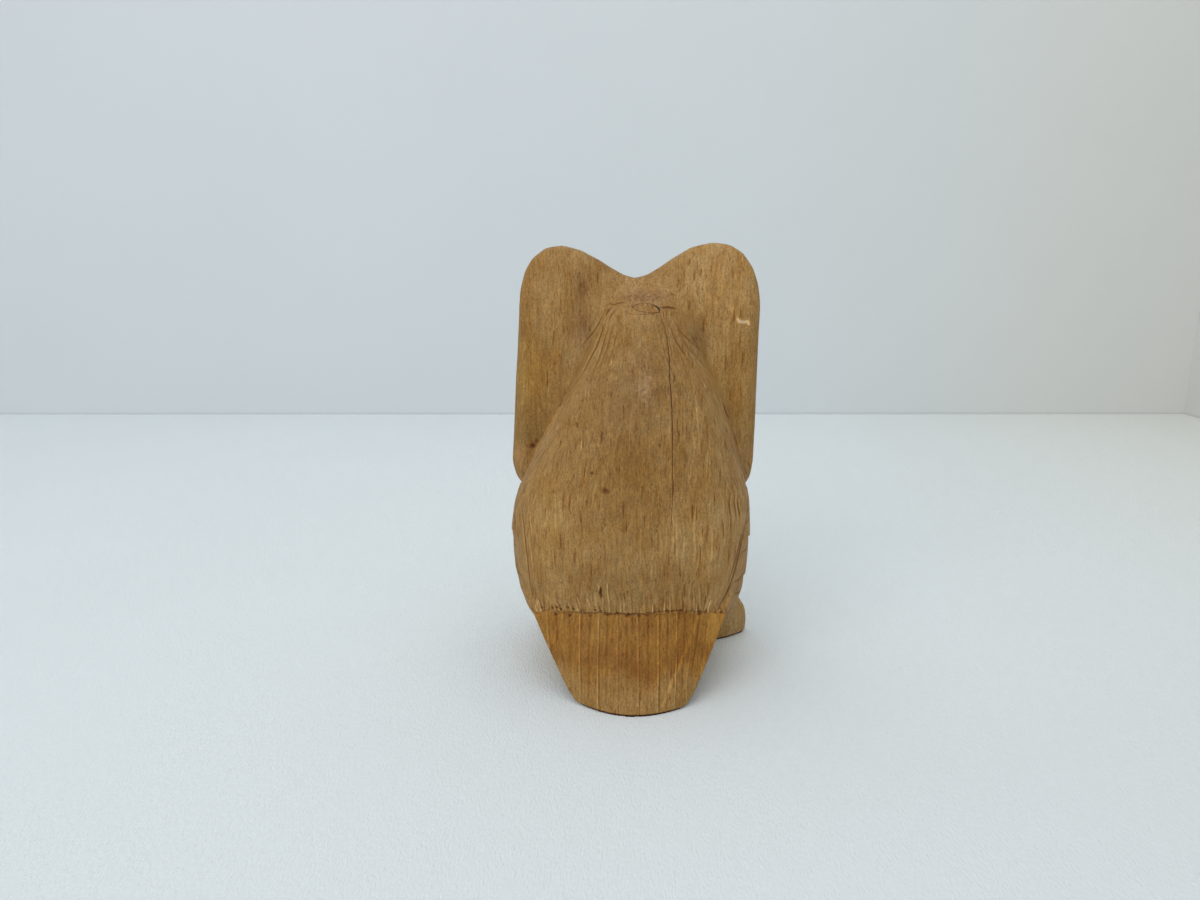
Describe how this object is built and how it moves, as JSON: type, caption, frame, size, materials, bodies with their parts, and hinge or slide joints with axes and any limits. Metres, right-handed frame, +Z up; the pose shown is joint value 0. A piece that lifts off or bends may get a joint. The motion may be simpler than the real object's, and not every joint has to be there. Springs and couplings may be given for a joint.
{
  "type": "carved wooden owl",
  "caption": "Sitting owl ornament carved from one block of bare wood, with ear tufts, inlaid eyes, hooked beak, folded wings, rounded feet and a fan tail that helps it stand.",
  "frame": {"origin": "on the ground under the middle of the belly, at the flat base", "axes": "+Z up the owl, -Y out of its face, +X towards its own left"},
  "size_m": [0.0891, 0.096, 0.15],
  "materials": {
    "carved_wood": "bare, hand-carved, matt",
    "knot_wood": "bare end grain, matt",
    "pale_inlay": "smooth, satin",
    "dark_inlay": "stained dark, polished"
  },
  "bodies": {
    "root": {"carved_block": "carved_wood", "nape_knot": "knot_wood", "left_iris": "pale_inlay", "right_iris": "pale_inlay", "left_pupil": "dark_inlay", "right_pupil": "dark_inlay"}
  },
  "joints": []
}
